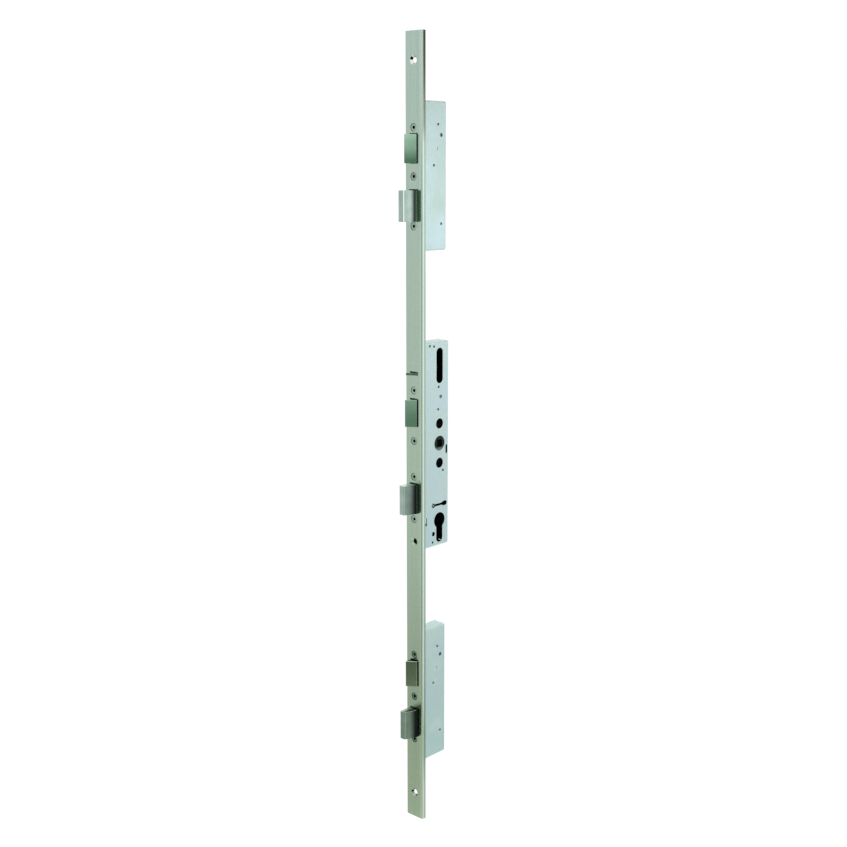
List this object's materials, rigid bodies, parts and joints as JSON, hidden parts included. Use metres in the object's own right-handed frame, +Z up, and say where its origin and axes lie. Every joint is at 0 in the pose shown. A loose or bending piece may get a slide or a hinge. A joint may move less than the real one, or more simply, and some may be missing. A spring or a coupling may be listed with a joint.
{
  "type": "multipoint door lock",
  "caption": "Long mortice door lock: channel faceplate with a main case and auxiliary cases, bevelled latches, and bolts drawn together by a handle follower through a drive rail.",
  "frame": {"origin": "on the handle spindle axis, midway through the thickness of the cases", "axes": "+X out of the case trays' visible side, +Y from the faceplate into the door, +Z up along the faceplate"},
  "size_m": [0.024, 0.063, 0.846],
  "materials": {
    "faceplate_steel": "brushed stainless",
    "zinc_case": "zinc plated sheet",
    "bolt_steel": "nickel plated satin",
    "mechanism_steel": "plain steel",
    "bright_steel": "zinc plated",
    "screw_steel": "stainless",
    "spring_steel": "spring wire"
  },
  "bodies": {
    "frame": {"faceplate": "faceplate_steel", "main_case_tray": "zinc_case", "main_case_cover": "zinc_case", "main_front_plate": "mechanism_steel", "main_case_screws": "screw_steel", "main_case_rivets": "bright_steel", "main_latch_seat": "bright_steel", "main_latch_spring": "spring_steel", "upper_case_tray": "zinc_case", "upper_case_cover": "zinc_case", "upper_front_plate": "mechanism_steel", "upper_case_screws": "screw_steel", "upper_case_rivets": "bright_steel", "upper_latch_seat": "bright_steel", "upper_latch_spring": "spring_steel", "lower_case_tray": "zinc_case", "lower_case_cover": "zinc_case", "lower_front_plate": "mechanism_steel", "lower_case_screws": "screw_steel", "lower_case_rivets": "bright_steel", "lower_latch_seat": "bright_steel", "lower_latch_spring": "spring_steel", "handle_sleeves": "mechanism_steel", "return_spring_seat": "bright_steel", "return_spring": "spring_steel", "upper_bolt_guide": "bright_steel", "lower_bolt_guide": "bright_steel", "trigger_seat": "bright_steel", "trigger_spring": "spring_steel"},
    "drive": {"main_rail": "mechanism_steel", "upper_rail": "mechanism_steel", "lower_rail": "mechanism_steel", "drive_lug": "mechanism_steel", "main_drive_finger": "mechanism_steel", "upper_drive_finger": "mechanism_steel", "lower_drive_finger": "mechanism_steel"},
    "follower": {"follower": "mechanism_steel"},
    "plunger": {"return_plunger": "bolt_steel"},
    "main_bolt": {"main_bolt": "bolt_steel", "main_bolt_pin": "bright_steel"},
    "upper_bolt": {"upper_bolt": "bolt_steel"},
    "lower_bolt": {"lower_bolt": "bolt_steel"},
    "main_latch": {"main_latch": "bolt_steel"},
    "upper_latch": {"upper_latch": "bolt_steel"},
    "lower_latch": {"lower_latch": "bolt_steel"},
    "trigger": {"trigger": "bolt_steel"}
  },
  "joints": [
    {"name": "drive_slide", "type": "slide", "parent": "frame", "child": "drive", "axis": [0, 0, 1], "range_m": [0, 0.016], "stiffness_N_per_m": 800, "springref_m": -0.02},
    {"name": "follower_turn", "type": "hinge", "parent": "frame", "child": "follower", "pos_m": [0, 0, 0], "axis": [-1, 0, 0], "range_deg": [0, 40]},
    {"name": "plunger_slide", "type": "slide", "parent": "frame", "child": "plunger", "axis": [0, 0, -1], "range_m": [0, 0.00705], "deforming": ["return_spring"]},
    {"name": "main_bolt_slide", "type": "slide", "parent": "frame", "child": "main_bolt", "axis": [0, 1, 0], "range_m": [0, 0.016]},
    {"name": "upper_bolt_slide", "type": "slide", "parent": "frame", "child": "upper_bolt", "axis": [0, 1, 0], "range_m": [0, 0.016]},
    {"name": "lower_bolt_slide", "type": "slide", "parent": "frame", "child": "lower_bolt", "axis": [0, 1, 0], "range_m": [0, 0.016]},
    {"name": "main_latch_slide", "type": "slide", "parent": "frame", "child": "main_latch", "axis": [0, 1, 0], "range_m": [0, 0.0085], "stiffness_N_per_m": 600, "springref_m": -0.005, "deforming": ["main_latch_spring"]},
    {"name": "upper_latch_slide", "type": "slide", "parent": "frame", "child": "upper_latch", "axis": [0, 1, 0], "range_m": [0, 0.0085], "stiffness_N_per_m": 600, "springref_m": -0.005, "deforming": ["upper_latch_spring"]},
    {"name": "lower_latch_slide", "type": "slide", "parent": "frame", "child": "lower_latch", "axis": [0, 1, 0], "range_m": [0, 0.0085], "stiffness_N_per_m": 600, "springref_m": -0.005, "deforming": ["lower_latch_spring"]},
    {"name": "trigger_slide", "type": "slide", "parent": "frame", "child": "trigger", "axis": [0, 1, 0], "range_m": [0, 0.0065], "stiffness_N_per_m": 300, "springref_m": -0.004, "deforming": ["trigger_spring"]}
  ],
  "couplings": [
    {"joint": "follower_turn", "follows": "drive_slide", "rad_per_m": 43.633},
    {"joint": "plunger_slide", "follows": "drive_slide", "ratio": 0.44035},
    {"joint": "main_bolt_slide", "follows": "drive_slide", "ratio": 1},
    {"joint": "upper_bolt_slide", "follows": "drive_slide", "ratio": 1},
    {"joint": "lower_bolt_slide", "follows": "drive_slide", "ratio": 1}
  ]
}
